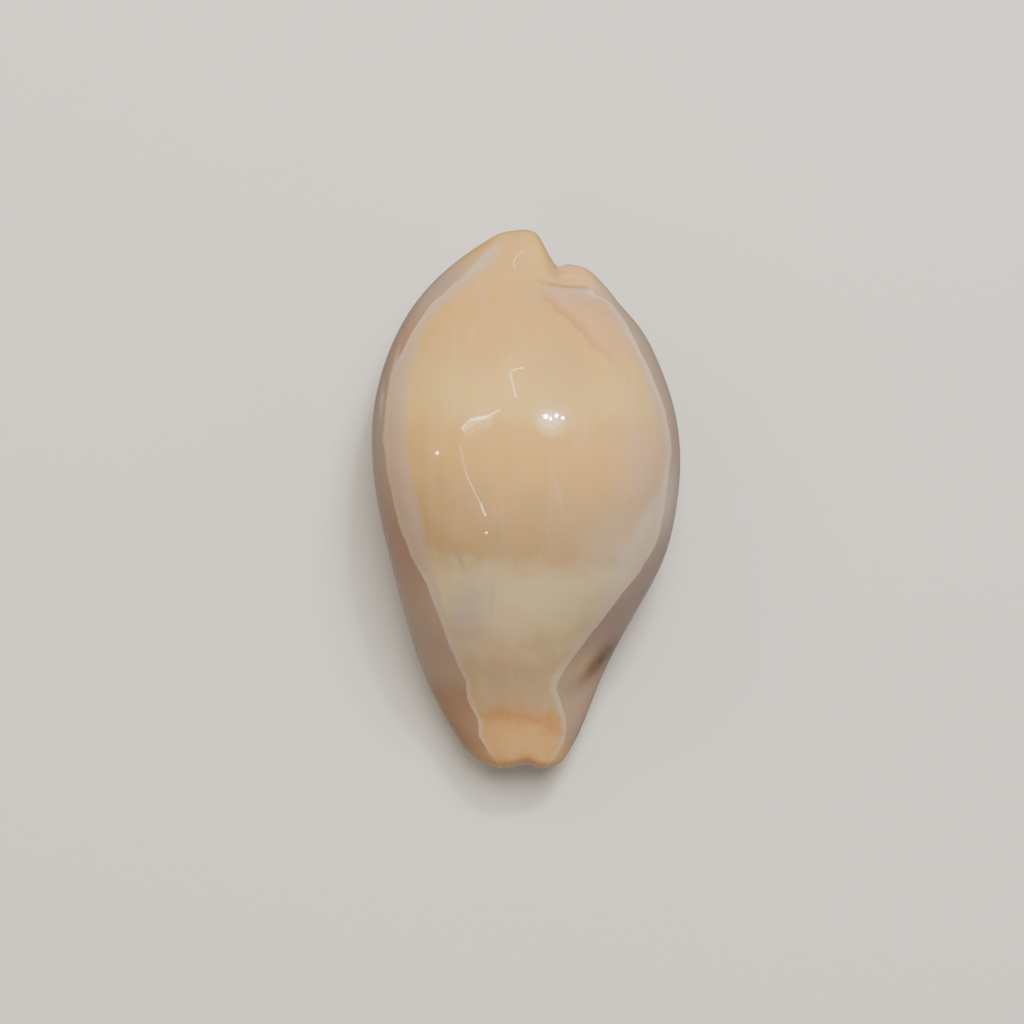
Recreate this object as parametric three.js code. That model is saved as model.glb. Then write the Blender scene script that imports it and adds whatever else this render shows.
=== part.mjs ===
// A cowrie shell lying on its base, with its rounded back up.
//
// Millimetres. +Y is the spire end, -Y the narrow front end, +X the columellar side and
// +Z the back. The shell is one grown piece, so it is one closed body: a thick hollow
// wall that opens underneath in a long toothed slit, which ends in a notch at either end
// of the shell. Inside, the columellar wall curls on as the older whorl.
//
// The body is lofted through closed rings. A ring belongs to one angle between the two
// notches and runs over the back from lip to lip, in through the columellar side of the
// slit, out and back along the older whorl, round the chamber and out again through the
// labral side. At either notch the ring shrinks to a line, and that closes the body.

import * as THREE from 'three';
import { LoftGeometry } from 'three/addons/geometries/LoftGeometry.js';
import { mergeVertices } from 'three/addons/utils/BufferGeometryUtils.js';

// Outline seen from above: [y, x] from the spire end to the front end.
const HALF_LENGTH = 20.1;
const LABRAL_MARGIN = [
  [20.1, 2.4], [19.85, -1.45], [19.4, -2.58], [17.81, -4.96], [14.85, -8.0],
  [11.15, -10.07], [7.0, -11.22], [3.5, -11.4], [-0.7, -10.9], [-5.15, -9.88], [-9.6, -8.73],
  [-14.0, -7.13], [-17.4, -5.32], [-19.0, -4.1], [-19.74, -2.9], [-19.98, -2.1], [-20.1, -0.07],
];
const COLUMELLAR_MARGIN = [
  [20.1, 2.4], [19.95, 4.0], [19.6, 4.77], [18.9, 5.5], [17.8, 6.25], [15.2, 7.45],
  [11.5, 9.25], [7.0, 10.95], [3.0, 11.47], [-0.7, 11.18], [-4.4, 10.26], [-8.1, 8.35],
  [-12.55, 5.98], [-17.0, 4.17], [-19.0, 3.1], [-19.8, 2.3], [-19.98, 1.75], [-20.1, -0.07],
];

// Outline seen from the side: [y, z] of the back, of the widest line and of the base.
const BACK = [
  [20.1, 5.8], [19.95, 6.5], [19.6, 7.15], [19, 7.7], [18, 8.35], [16.6, 9.3], [15, 10.85],
  [13, 12.85], [10, 15.35], [6, 17.4], [2, 18.0], [-2, 17.3], [-6, 15.2], [-10, 12.2],
  [-13, 9.7], [-15.5, 7.7], [-17.5, 6.5], [-19, 5.7], [-19.8, 5.0], [-19.97, 4.5], [-20.1, 3.9],
];
const WIDEST = [
  [20.1, 5.8], [19.8, 5.2], [18, 4.7], [14.85, 5.0], [10, 5.8], [4, 6.3], [0, 6.2],
  [-6, 5.4], [-10, 4.6], [-14, 3.6], [-17, 3.1], [-19.6, 3.1], [-20.1, 3.9],
];
const BASE = [
  [20.1, 5.8], [19.95, 4.2], [19.7, 2.6], [19.0, 1.6], [17.5, 0.9], [14.5, 0.35], [10, -0.05],
  [0, -0.18], [-10, -0.05], [-15.5, 0.3], [-18.5, 0.8], [-19.6, 1.3], [-19.95, 2.3], [-20.1, 3.9],
];

// Lines along the shell: [y, x] of the crest of the back and of the middle of the slit.
const CREST = [
  [20.1, 2.4], [19.8, 1.9], [19, 1.5], [17, 1.0], [14, 0.6], [8, 0.4], [0, 0.3],
  [-10, 0.1], [-17, -0.35], [-19.5, -0.25], [-20.1, -0.07],
];
const SLIT = [
  [20.1, 2.4], [19.8, 2.2], [19, 1.9], [17, 1.2], [14, 0.4], [10, -0.5], [5, -1.3],
  [0, -1.6], [-5, -1.5], [-10, -1.1], [-15, -0.6], [-18, -0.3], [-20.1, -0.07],
];
const SLIT_WIDTH = [
  [20.1, 1.9], [17, 1.7], [12, 1.9], [4, 2.1], [-6, 2.3], [-13, 2.7], [-17, 2.3], [-20.1, 2.0],
];

// Fullness of the cross-section, as a share of its half width.
const FULL_BACK = 0.02;
const FULL_BASE = 0.09;
const COLUMELLAR_PINCH = { depth: 0.16, y: -12.5, spread: 3.6 };
const LABRAL_PINCH = { depth: 0.07, y: -14, spread: 3.5 };

// Notch that is pressed into the spire end beside its projecting lobe, and the shallow
// one of the front end. Each grows over the y range from..to. Away from the end the spire
// notch spreads out into a gentle slope, and its edge shifts towards the columellar side.
const SPIRE_NOTCH = { depth: 2.65, x: 1.4, slope: 0.33, from: 11, to: 19.6, spread: 3.2, shift: 0.6 };
const SPIRE_DIP = { depth: 0.32, x: 2.4, spread: 0.42, from: 18.5, to: 19.9 };
const FRONT_NOTCH = { depth: 0.36, x: 0.15, labral: 1.15, columellar: 0.6, from: -18.6, to: -19.9 };

// The chamber is the outside drawn in towards this point, which leaves the wall.
const CHAMBER = { x: 0, y: -0.6, z: 8.2, wide: 0.86, long: 0.79, above: 0.85, below: 0.7 };

// Lips of the slit. The rounding of the inner edge grows over INNER_FADE from either root.
const LIP_ROUND = 1.15;
const LIP_DEEP = 1.0;
const INNER_ROUND = 0.5;
const INNER_FADE = 0.8;

// Shares: of the wall's thickness that a rounding may take, and of the way through the
// slit where the lip's rounding ends and the inner one starts.
const MOST_OF_WALL = { lip: 0.35, inner: 0.2 };
const WALL_RUN = { lip: 0.45, inner: 0.8 };
const WIDEST_LIP = 0.92;

// Teeth across the slit, and the ribs that run out from them over the base.
const TOOTH_PITCH = 1.5;
const TOOTH_HEIGHT = 0.42;
const TOOTH_SHARPNESS = 1.3;
const TOOTH_FULLNESS = 0.7;
const RIB_HEIGHT = 0.16;
const RIB_REACH = 1.25;
const TEETH = { first: 13.5, fadeIn: 14.6, full: 12.8, fullTo: -16.0, fadeOut: -17.6 };

// Older whorl inside the chamber: its radius in shares of the chamber's half width, its
// turn in degrees, and its wall in millimetres. It leaves the columellar wall over the
// share blend of its length, and opens to its full thickness over the share open.
const WHORL = {
  start: 0.56, end: 0.42, turn: 290, blend: 0.25, easing: 1.5, open: 0.1, wall: 0.7, most: 0.22,
};

// Faces: stations from notch to notch, and points round one ring.
const TOOTHED = { from: 14.25, to: -17.25 };
const SPIRE_STATIONS = 12;
const FRONT_STATIONS = 7;
const END_CROWDING = 1.8;
const LIP_CROWDING = 1.25;
const RING = { outside: 33, slit: 5, whorl: 6, chamber: 18 };
const WELD = 1e-3;
const TINY = 1e-6;

const { PI, sin, cos, asin, acos, atan2, tanh, sqrt, exp, abs, hypot } = Math;
const clamp = THREE.MathUtils.clamp;
const bell = (value, middle, spread) => exp(-(((value - middle) / spread) ** 2));

function ease(from, to, value) {
  const share = clamp((value - from) / (to - from), 0, 1);
  return share * share * (3 - 2 * share);
}

// Natural cubic spline through [y, value] points, as a function of a ring's angle.
function along(points) {
  const last = points.length - 1;
  const at = points.map(([y]) => acos(y / HALF_LENGTH));
  const value = points.map((point) => point[1]);
  const step = at.slice(1).map((angle, i) => angle - at[i]);
  const rise = step.map((width, i) => (value[i + 1] - value[i]) / width);
  const bend = new Array(last + 1).fill(0);
  const ratio = [0];
  for (let i = 1; i < last; i++) {
    const pivot = 2 * (step[i - 1] + step[i]) - step[i - 1] * ratio[i - 1];
    ratio[i] = step[i] / pivot;
    bend[i] = (6 * (rise[i] - rise[i - 1]) - step[i - 1] * bend[i - 1]) / pivot;
  }
  for (let i = last - 1; i > 0; i--) {
    bend[i] -= ratio[i] * bend[i + 1];
  }
  return (angle) => {
    let i = 0;
    while (i < last - 1 && angle >= at[i + 1]) i++;
    const [before, after, width] = [angle - at[i], at[i + 1] - angle, step[i]];
    const curved = (bend[i] * after ** 3 + bend[i + 1] * before ** 3) / (6 * width);
    const start = (value[i] / width - (bend[i] * width) / 6) * after;
    const end = (value[i + 1] / width - (bend[i + 1] * width) / 6) * before;
    return curved + start + end;
  };
}

const labral = along(LABRAL_MARGIN);
const columellar = along(COLUMELLAR_MARGIN);
const back = along(BACK);
const widest = along(WIDEST);
const base = along(BASE);
const crest = along(CREST);
const slit = along(SLIT);
const slitWidth = along(SLIT_WIDTH);

// Point of the outside. turn is 0 on the crest, +90 degrees on the columellar margin,
// -90 degrees on the labral margin and 180 degrees in the middle of the slit.
function outside(angle, turn) {
  const y = HALF_LENGTH * cos(angle);
  const right = sin(turn) >= 0;
  const above = cos(turn) >= 0;
  const pinch = right ? COLUMELLAR_PINCH : LABRAL_PINCH;
  const pinched = pinch.depth * bell(y, pinch.y, pinch.spread);
  const full = above ? FULL_BACK - pinched : FULL_BASE;
  const swell = 1 + full * sin(2 * turn) ** 2;
  const middle = above ? crest(angle) : slit(angle);
  const margin = right ? columellar(angle) : labral(angle);
  const level = widest(angle);
  const reach = above ? back(angle) - level : level - base(angle);
  const x = middle + (margin - middle) * abs(sin(turn)) * swell;
  return new THREE.Vector3(x, y, level + reach * cos(turn) * swell);
}

// Presses the two notches into the ends of the finished wall.
function press(point) {
  const near = ease(SPIRE_NOTCH.from, SPIRE_NOTCH.to, point.y);
  const slope = SPIRE_NOTCH.slope + SPIRE_NOTCH.spread * (1 - near);
  const edge = SPIRE_NOTCH.x + SPIRE_NOTCH.shift * (1 - near);
  const step = (SPIRE_NOTCH.depth * near) / (1 + exp(-(point.x - edge) / slope));
  const dip = SPIRE_DIP.depth * near * ease(SPIRE_DIP.from, SPIRE_DIP.to, point.y)
    * bell(point.x, SPIRE_DIP.x, SPIRE_DIP.spread);
  const spread = point.x < FRONT_NOTCH.x ? FRONT_NOTCH.labral : FRONT_NOTCH.columellar;
  const front = FRONT_NOTCH.depth * ease(FRONT_NOTCH.from, FRONT_NOTCH.to, point.y)
    * bell(point.x, FRONT_NOTCH.x, spread);
  point.y += front - step - dip;
  return point;
}

function inside(angle, turn) {
  const point = outside(angle, turn);
  const tall = point.z > CHAMBER.z ? CHAMBER.above : CHAMBER.below;
  point.x = CHAMBER.x + (point.x - CHAMBER.x) * CHAMBER.wide;
  point.y = CHAMBER.y + (point.y - CHAMBER.y) * CHAMBER.long;
  point.z = CHAMBER.z + (point.z - CHAMBER.z) * tall;
  return point;
}

// Half width of a round-ended bay of the given radius, at a distance from its root.
function bay(distance, radius) {
  const share = clamp(distance / radius, 0, 1);
  return radius * sqrt(1 - (1 - share) ** 2);
}

// Height of the teeth, 0 to 1. The two lips' teeth stand in each other's gaps.
function tooth(y, side) {
  const count = (y - TEETH.first) / TOOTH_PITCH + (side > 0 ? 0.5 : 0);
  const wave = (0.5 + 0.5 * cos(2 * PI * count)) ** TOOTH_SHARPNESS;
  return wave * ease(TEETH.fadeIn, TEETH.full, y) * ease(TEETH.fadeOut, TEETH.fullTo, y);
}

const spireRoot = outside(0, PI);
const frontRoot = outside(PI, PI);

// Sizes that every part of one ring needs.
function measure(angle) {
  const outer = outside(angle, PI);
  const inner = inside(angle, PI);
  const fromRoot = Math.min(outer.distanceTo(spireRoot), outer.distanceTo(frontRoot));
  const radius = slitWidth(angle) / 2;
  const drop = LIP_ROUND * exp(-fromRoot / (2 * LIP_ROUND));
  const gap = bay(fromRoot - LIP_ROUND + drop, radius);
  const wide = bay(fromRoot, radius + LIP_ROUND);
  const innerGap = gap + INNER_ROUND * tanh(fromRoot / INNER_FADE);
  const thick = outer.distanceTo(inner);
  const inward = inner.clone().sub(outer).normalize();
  return { angle, y: HALF_LENGTH * cos(angle), outer, drop, gap, wide, innerGap, thick, inward };
}

// Turn at which a lip stands at the given distance from the middle of the slit.
function lipTurn(m, side, distance, shrink) {
  const margin = side > 0 ? columellar(m.angle) : labral(m.angle);
  const half = abs(margin - slit(m.angle)) * shrink;
  return PI - asin(clamp(distance / Math.max(half, TINY), 0, WIDEST_LIP));
}

function outsideArc(m) {
  const turns = { left: lipTurn(m, -1, m.wide, 1), right: lipTurn(m, 1, m.wide, 1) };
  const points = [];
  for (let i = 0; i < RING.outside; i++) {
    const share = -1 + (2 * i) / (RING.outside - 1);
    const eased = Math.sign(share) * (1 - (1 - abs(share)) ** LIP_CROWDING);
    const turn = eased * (share < 0 ? turns.left : turns.right);
    const point = outside(m.angle, turn);
    if (abs(turn) > PI / 2) {
      const past = Math.max(abs(point.x - m.outer.x) - m.wide, 0);
      point.z -= RIB_HEIGHT * tooth(m.y, Math.sign(turn)) * exp(-past / RIB_REACH);
    }
    points.push(point);
  }
  return points;
}

// One side of the slit, from its rounded lip inwards, with the teeth across it.
function slitWall(m, side, start) {
  const end = inside(m.angle, side * lipTurn(m, side, m.innerGap, CHAMBER.wide));
  const deep = Math.min(LIP_DEEP, m.thick * MOST_OF_WALL.lip);
  const roll = Math.min(INNER_ROUND, m.thick * MOST_OF_WALL.inner);
  const place = (lateral, depth, drop) => m.outer.clone().addScaledVector(m.inward, depth)
    .add(new THREE.Vector3(side * lateral, 0, -drop));
  const startFix = start.clone().sub(place(m.wide, 0, 0));
  const endFix = end.clone().sub(place(m.innerGap, m.thick, m.drop));
  const points = [];
  for (let i = 1; i <= RING.slit; i++) {
    const share = i / (RING.slit + 1);
    const lip = (clamp(share / WALL_RUN.lip, 0, 1) * PI) / 2;
    const inner = (clamp((share - WALL_RUN.inner) / (1 - WALL_RUN.inner), 0, 1) * PI) / 2;
    const straight = clamp((share - WALL_RUN.lip) / (WALL_RUN.inner - WALL_RUN.lip), 0, 1);
    const lateral = m.gap + (m.wide - m.gap) * (1 - sin(lip))
      + (m.innerGap - m.gap) * (1 - cos(inner));
    const depth = deep * (1 - cos(lip)) + (m.thick - deep - roll) * straight + roll * sin(inner);
    const point = place(lateral, depth, m.drop * sin(lip));
    point.addScaledVector(startFix, 1 - sin(lip)).addScaledVector(endFix, 1 - cos(inner));
    point.x -= side * TOOTH_HEIGHT * tooth(m.y, side) * sin(PI * share) ** TOOTH_FULLNESS;
    points.push(point);
  }
  return points;
}

// The older whorl: a sheet that curls on from the columellar wall, out and back.
function whorl(m, start) {
  const [top, left, right, bottom] = [0, -PI / 2, PI / 2, PI].map((turn) => inside(m.angle, turn));
  const centre = { x: (left.x + right.x) / 2, z: (top.z + bottom.z) / 2 };
  const half = { x: (right.x - left.x) / 2, z: (top.z - bottom.z) / 2 };
  const safe = { x: Math.max(half.x, TINY), z: Math.max(half.z, TINY) };
  const from = { x: (start.x - centre.x) / safe.x, z: (start.z - centre.z) / safe.z };
  const firstTurn = atan2(-from.x, -from.z);
  const wall = clamp(WHORL.most * Math.min(half.x, half.z), 0, WHORL.wall);
  const sheet = (share, offset) => {
    const blend = clamp(1 - share / WHORL.blend, 0, 1) ** WHORL.easing;
    const plain = WHORL.start + (WHORL.end - WHORL.start) * share;
    const radius = plain + (hypot(from.x, from.z) - plain) * blend;
    const turn = firstTurn + THREE.MathUtils.degToRad(WHORL.turn) * share;
    const x = centre.x - (half.x * radius + offset) * sin(turn);
    return new THREE.Vector3(x, start.y, centre.z - (half.z * radius + offset) * cos(turn));
  };
  const out = [];
  const home = [];
  for (let i = 0; i <= RING.whorl; i++) {
    const share = i / RING.whorl;
    const open = clamp(share / WHORL.open, 0, 1);
    if (i > 0) out.push(sheet(share, (wall / 2) * open));
    home.unshift(sheet(share, -wall * (1 - open / 2)));
  }
  home.pop();
  return { points: [...out, ...home], wall };
}

function chamberArc(m, wall) {
  const first = lipTurn(m, 1, m.innerGap + wall, CHAMBER.wide);
  const last = -lipTurn(m, -1, m.innerGap, CHAMBER.wide);
  const points = [];
  for (let i = 0; i < RING.chamber; i++) {
    points.push(inside(m.angle, THREE.MathUtils.lerp(first, last, i / (RING.chamber - 1))));
  }
  return points;
}

function ring(angle) {
  const m = measure(angle);
  const arc = outsideArc(m);
  const right = slitWall(m, 1, arc[arc.length - 1]);
  const left = slitWall(m, -1, arc[0]);
  const curl = whorl(m, inside(angle, lipTurn(m, 1, m.innerGap, CHAMBER.wide)));
  const points = [...arc, ...right, ...curl.points, ...chamberArc(m, curl.wall), ...left.reverse()];
  for (const point of points.map(press)) {
    point.z = Math.max(point.z, 0);
  }
  return points;
}

// Angles of the rings: crowded towards either notch, and two to a tooth in between.
function stations() {
  const first = acos(TOOTHED.from / HALF_LENGTH);
  const last = acos(TOOTHED.to / HALF_LENGTH);
  const angles = [];
  for (let i = 0; i < SPIRE_STATIONS; i++) {
    angles.push(first * (i / SPIRE_STATIONS) ** END_CROWDING);
  }
  for (let y = TOOTHED.from; y > TOOTHED.to; y -= TOOTH_PITCH / 2) {
    angles.push(acos(y / HALF_LENGTH));
  }
  for (let i = FRONT_STATIONS; i >= 0; i--) {
    angles.push(PI - (PI - last) * (i / FRONT_STATIONS) ** END_CROWDING);
  }
  return angles;
}

// Lofts the rings, welds equal points and drops the faces that this leaves without area.
function shellGeometry() {
  const loft = new LoftGeometry(stations().map(ring).reverse());
  const plain = new THREE.BufferGeometry();
  plain.setAttribute('position', loft.getAttribute('position'));
  plain.setIndex(loft.getIndex());
  const welded = mergeVertices(plain, WELD);
  const corners = welded.getIndex().array;
  const faces = [];
  for (let i = 0; i < corners.length; i += 3) {
    const [a, b, c] = corners.slice(i, i + 3);
    if (a !== b && b !== c && c !== a) faces.push(a, b, c);
  }
  welded.setIndex(faces);
  welded.computeBoundingBox();
  const { min, max } = welded.boundingBox;
  welded.translate(-(min.x + max.x) / 2, -(min.y + max.y) / 2, -min.z);
  welded.computeVertexNormals();
  return welded;
}

const porcelain = new THREE.MeshStandardMaterial({ color: 0xcbb08f, roughness: 0.18, metalness: 0 });
const shell = new THREE.Mesh(shellGeometry(), porcelain);
shell.name = 'shell';

const cowrie = new THREE.Group();
cowrie.add(shell);

export default cowrie;
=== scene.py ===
import math

import bmesh
import bpy
import numpy as np
from mathutils import Matrix, Vector


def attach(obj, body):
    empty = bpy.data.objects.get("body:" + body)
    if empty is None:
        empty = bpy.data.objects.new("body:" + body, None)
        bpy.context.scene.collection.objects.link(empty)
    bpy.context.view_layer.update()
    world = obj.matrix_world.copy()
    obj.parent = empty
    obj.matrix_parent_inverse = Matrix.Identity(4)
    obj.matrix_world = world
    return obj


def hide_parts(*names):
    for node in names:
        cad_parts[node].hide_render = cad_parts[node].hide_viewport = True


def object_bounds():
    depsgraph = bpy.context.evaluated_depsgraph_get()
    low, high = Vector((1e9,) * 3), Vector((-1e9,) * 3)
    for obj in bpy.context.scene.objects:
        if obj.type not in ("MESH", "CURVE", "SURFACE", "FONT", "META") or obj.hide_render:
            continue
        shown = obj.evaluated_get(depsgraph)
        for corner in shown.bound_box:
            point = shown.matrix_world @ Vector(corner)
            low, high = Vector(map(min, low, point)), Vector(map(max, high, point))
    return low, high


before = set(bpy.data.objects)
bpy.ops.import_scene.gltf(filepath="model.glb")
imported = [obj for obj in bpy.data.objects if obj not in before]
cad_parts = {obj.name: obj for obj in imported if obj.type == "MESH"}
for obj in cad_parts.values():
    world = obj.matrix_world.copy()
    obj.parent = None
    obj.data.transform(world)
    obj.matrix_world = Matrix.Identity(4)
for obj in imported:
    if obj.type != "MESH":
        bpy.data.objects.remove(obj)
CAD_BOX = [list(map(float, corner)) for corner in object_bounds()]

# The shell's own lengths are written in millimetres times MM, which makes metres.
MM = 0.001
TAU = 2 * math.pi

# Outline seen from above: (y, x) from the spire end to the front end, in millimetres.
HALF_LENGTH = 20.1
LABRAL_MARGIN = (
    (20.1, 2.4), (19.85, -1.45), (19.4, -2.58), (17.81, -4.96), (14.85, -8.0),
    (11.15, -10.07), (7.0, -11.22), (3.5, -11.4), (-0.7, -10.9), (-5.15, -9.88), (-9.6, -8.73),
    (-14.0, -7.13), (-17.4, -5.32), (-19.0, -4.1), (-19.74, -2.9), (-19.98, -2.1), (-20.1, -0.07),
)
COLUMELLAR_MARGIN = (
    (20.1, 2.4), (19.95, 4.0), (19.6, 4.77), (18.9, 5.5), (17.8, 6.25), (15.2, 7.45),
    (11.5, 9.25), (7.0, 10.95), (3.0, 11.47), (-0.7, 11.18), (-4.4, 10.26), (-8.1, 8.35),
    (-12.55, 5.98), (-17.0, 4.17), (-19.0, 3.1), (-19.8, 2.3), (-19.98, 1.75), (-20.1, -0.07),
)

# Outline seen from the side: (y, z) of the back, of the widest line and of the base.
BACK = (
    (20.1, 5.8), (19.95, 6.5), (19.6, 7.15), (19, 7.7), (18, 8.35), (16.6, 9.3), (15, 10.85),
    (13, 12.85), (10, 15.35), (6, 17.4), (2, 18.0), (-2, 17.3), (-6, 15.2), (-10, 12.2),
    (-13, 9.7), (-15.5, 7.7), (-17.5, 6.5), (-19, 5.7), (-19.8, 5.0), (-19.97, 4.5), (-20.1, 3.9),
)
WIDEST = (
    (20.1, 5.8), (19.8, 5.2), (18, 4.7), (14.85, 5.0), (10, 5.8), (4, 6.3), (0, 6.2),
    (-6, 5.4), (-10, 4.6), (-14, 3.6), (-17, 3.1), (-19.6, 3.1), (-20.1, 3.9),
)
BASE = (
    (20.1, 5.8), (19.95, 4.2), (19.7, 2.6), (19.0, 1.6), (17.5, 0.9), (14.5, 0.35), (10, -0.05),
    (0, -0.18), (-10, -0.05), (-15.5, 0.3), (-18.5, 0.8), (-19.6, 1.3), (-19.95, 2.3),
    (-20.1, 3.9),
)

# Lines along the shell: (y, x) of the crest of the back and of the middle of the slit.
CREST = (
    (20.1, 2.4), (19.8, 1.9), (19, 1.5), (17, 1.0), (14, 0.6), (8, 0.4), (0, 0.3),
    (-10, 0.1), (-17, -0.35), (-19.5, -0.25), (-20.1, -0.07),
)
SLIT = (
    (20.1, 2.4), (19.8, 2.2), (19, 1.9), (17, 1.2), (14, 0.4), (10, -0.5), (5, -1.3),
    (0, -1.6), (-5, -1.5), (-10, -1.1), (-15, -0.6), (-18, -0.3), (-20.1, -0.07),
)
# Width of the slit: (y, width).
SLIT_WIDTH = (
    (20.1, 1.9), (17, 1.7), (12, 1.9), (4, 2.1), (-6, 2.3), (-13, 2.7), (-17, 2.3), (-20.1, 2.0),
)

# Sharp outer edge of the marginal glaze on the back: (y, x) on either side.
LABRAL_GLAZE = (
    (20.1, -1.9), (18.7, -2.5), (17.5, -3.7), (16.2, -4.9), (14.4, -7.0), (12.3, -8.4),
    (9.2, -9.9), (7.5, -10.25), (4.5, -10.5), (1.4, -10.1), (-1.9, -9.3), (-4.4, -8.3),
    (-6.1, -7.35), (-9.1, -6.25), (-12.2, -5.05), (-13.5, -4.45), (-14.7, -4.35), (-16.4, -3.6),
    (-17.6, -3.45), (-18.5, -2.95), (-20.1, -1.9),
)
COLUMELLAR_GLAZE = (
    (20.1, 6.0), (17.4, 5.6), (16.4, 5.0), (15.2, 5.0), (14.6, 6.25), (12.8, 7.5), (11.3, 8.25),
    (9.4, 9.15), (6.4, 10.35), (3.6, 10.75), (0.0, 10.3), (-2.3, 9.9), (-3.5, 9.45), (-5.1, 8.55),
    (-7.6, 6.6), (-11.6, 3.55), (-13.4, 2.35), (-14.1, 2.25), (-15.0, 2.6), (-16.1, 2.95),
    (-17.2, 3.05), (-18.2, 2.8), (-20.1, 1.6),
)

# Width of the paler band just inside that edge: (y, width across the shell).
LABRAL_BAND = (
    (20.1, 0.9), (17.5, 1.3), (14.6, 1.0), (12.8, 0.85), (11.3, 1.05), (8.2, 1.5), (4.5, 1.8),
    (2.2, 1.95), (-1.6, 1.85), (-4.4, 1.3), (-6.7, 0.8), (-10.0, 0.55), (-13.0, 0.4), (-20.1, 0.35),
)
COLUMELLAR_BAND = (
    (20.1, 0.5), (15.4, 1.4), (14.0, 1.0), (9.4, 0.9), (6.4, 1.05), (3.6, 1.0), (0.6, 0.9),
    (-1.5, 2.2), (-3.3, 3.0), (-5.5, 2.9), (-7.6, 1.5), (-9.7, 0.9), (-13.4, 0.75), (-15.0, 0.5),
    (-20.1, 0.4),
)

# Fullness of the cross-section, as a share of its half width.
FULL_BACK = 0.02
FULL_BASE = 0.09
COLUMELLAR_PINCH = {"depth": 0.16, "y": -12.5, "spread": 3.6}
LABRAL_PINCH = {"depth": 0.07, "y": -14, "spread": 3.5}

# Notches pressed into the spire end, beside its projecting lobe, and the front end. Away
# from the end the spire notch spreads into a gentle slope, and its edge shifts to +x.
SPIRE_NOTCH = {"depth": 2.65, "x": 1.4, "slope": 0.33, "spread": 3.2, "shift": 0.6}
SPIRE_NOTCH_RANGE = (11, 19.6)
SPIRE_DIP = {"depth": 0.32, "x": 2.4, "spread": 0.42}
SPIRE_DIP_RANGE = (18.5, 19.9)
FRONT_NOTCH = {"depth": 0.36, "x": 0.15, "labral": 1.15, "columellar": 0.6}
FRONT_NOTCH_RANGE = (-18.6, -19.9)

# Fine crease in the glaze under the spire end's rim: (x, y) along it. It comes in from
# just before its first point, and fades out before its last. Above it the rim of the back
# is set in behind the columellar lobe, which leaves a narrow ledge.
CREASE = ((0.5, 16.1), (1.2, 16.0), (2.1, 15.8), (3.1, 15.7), (4.3, 15.65), (5.4, 15.45))
CREASE_DEPTH = 0.05
CREASE_SPREAD = 0.11
CREASE_ENDS = {"before": 0.3, "full": 1.2, "fade": 1.4}
LEDGE = {"depth": 0.42, "x": 3.3, "spread": 0.8}
LEDGE_FROM_Y = (15.9, 16.9)
LEDGE_FROM_Z = (6.0, 6.5)
# Where the painted shade on the ledge under the rim comes in.
LEDGE_SHADE_FROM_Y = (16.2, 16.8)

# The chamber is the outside drawn in towards this point, which leaves the wall.
CHAMBER_CENTRE = np.array((0, -0.6, 8.2))
CHAMBER_WIDE = 0.86
CHAMBER_LONG = 0.79
CHAMBER_ABOVE = 0.85
CHAMBER_BELOW = 0.7

# Lips of the slit. The rounding of the inner edge grows over INNER_FADE from either root.
# Neither rounding takes more than its share of the wall, and no lip stands farther out
# than the share WIDEST_LIP of the way to the margin.
LIP_ROUND = 1.15
LIP_DEEP = 1.0
INNER_ROUND = 0.5
INNER_FADE = 0.8
MOST_OF_WALL = {"lip": 0.35, "inner": 0.2}
WIDEST_LIP = 0.92

# Shares of the points on a lip: the rounded lip ends at the first, and the inner rounding
# starts at the second.
WALL_RUN = {"lip": 0.45, "inner": 0.8}

# Ribs run from the teeth over the base, and fade over RIB_REACH.
RIB_REACH = 1.25
RIB_SHARE = 0.38
TOOTH_FULLNESS = 0.7

# Older whorl inside the chamber: it curls from one share of the chamber's half width to
# another. It leaves the wall over the share blend of its length, and opens to its full
# thickness over the share open. That is wall, or the share most of the half width.
WHORL = {
    "start": 0.56, "end": 0.42, "turn": math.radians(290), "blend": 0.25, "easing": 1.5,
    "open": 0.1, "wall": 0.7, "most": 0.22,
}

# Points: rings from notch to notch, and points round one ring. Rings stand closer together
# towards either end, and points on the back towards either lip.
SPIRE_RINGS = 52
TOOTHED_RINGS = 246
FRONT_RINGS = 40
RING_OUTSIDE = 165
RING_LIP = 19
RING_WHORL = 16
RING_CHAMBER = 42
TOOTHED_FROM = 14.25
TOOTHED_TO = -17.25
END_CROWDING = 1.8
LIP_CROWDING = 1.25

# The least half width to divide by, and the distance at which two points become one.
TINY = 1e-6
SAME_POINT = 0.00002


def bell(value, middle, spread):
    return np.exp(-(((value - middle) / spread) ** 2))


def ease(start, full, value):
    share = np.clip((value - start) / (full - start), 0, 1)
    return share * share * (3 - 2 * share)


def along(points):
    """Natural cubic spline through (y, value) points, as a function of a ring's angle."""
    at = np.arccos(np.array([y for y, _ in points]) / HALF_LENGTH)
    value = np.array([v for _, v in points], float)
    step = np.diff(at)
    rise = np.diff(value) / step
    count = len(points)
    system = np.eye(count)
    right = np.zeros(count)
    for i in range(1, count - 1):
        system[i, i - 1:i + 2] = step[i - 1], 2 * (step[i - 1] + step[i]), step[i]
        right[i] = 6 * (rise[i] - rise[i - 1])
    bend = np.linalg.solve(system, right)

    def curve(angle):
        i = np.clip(np.searchsorted(at, angle, side="right") - 1, 0, count - 2)
        before = angle - at[i]
        after = at[i + 1] - angle
        width = step[i]
        curved = (bend[i] * after ** 3 + bend[i + 1] * before ** 3) / (6 * width)
        start = (value[i] / width - bend[i] * width / 6) * after
        end = (value[i + 1] / width - bend[i + 1] * width / 6) * before
        return curved + start + end

    return curve


labral = along(LABRAL_MARGIN)
columellar = along(COLUMELLAR_MARGIN)
back = along(BACK)
widest = along(WIDEST)
base = along(BASE)
crest = along(CREST)
slit = along(SLIT)
slit_width = along(SLIT_WIDTH)


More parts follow.
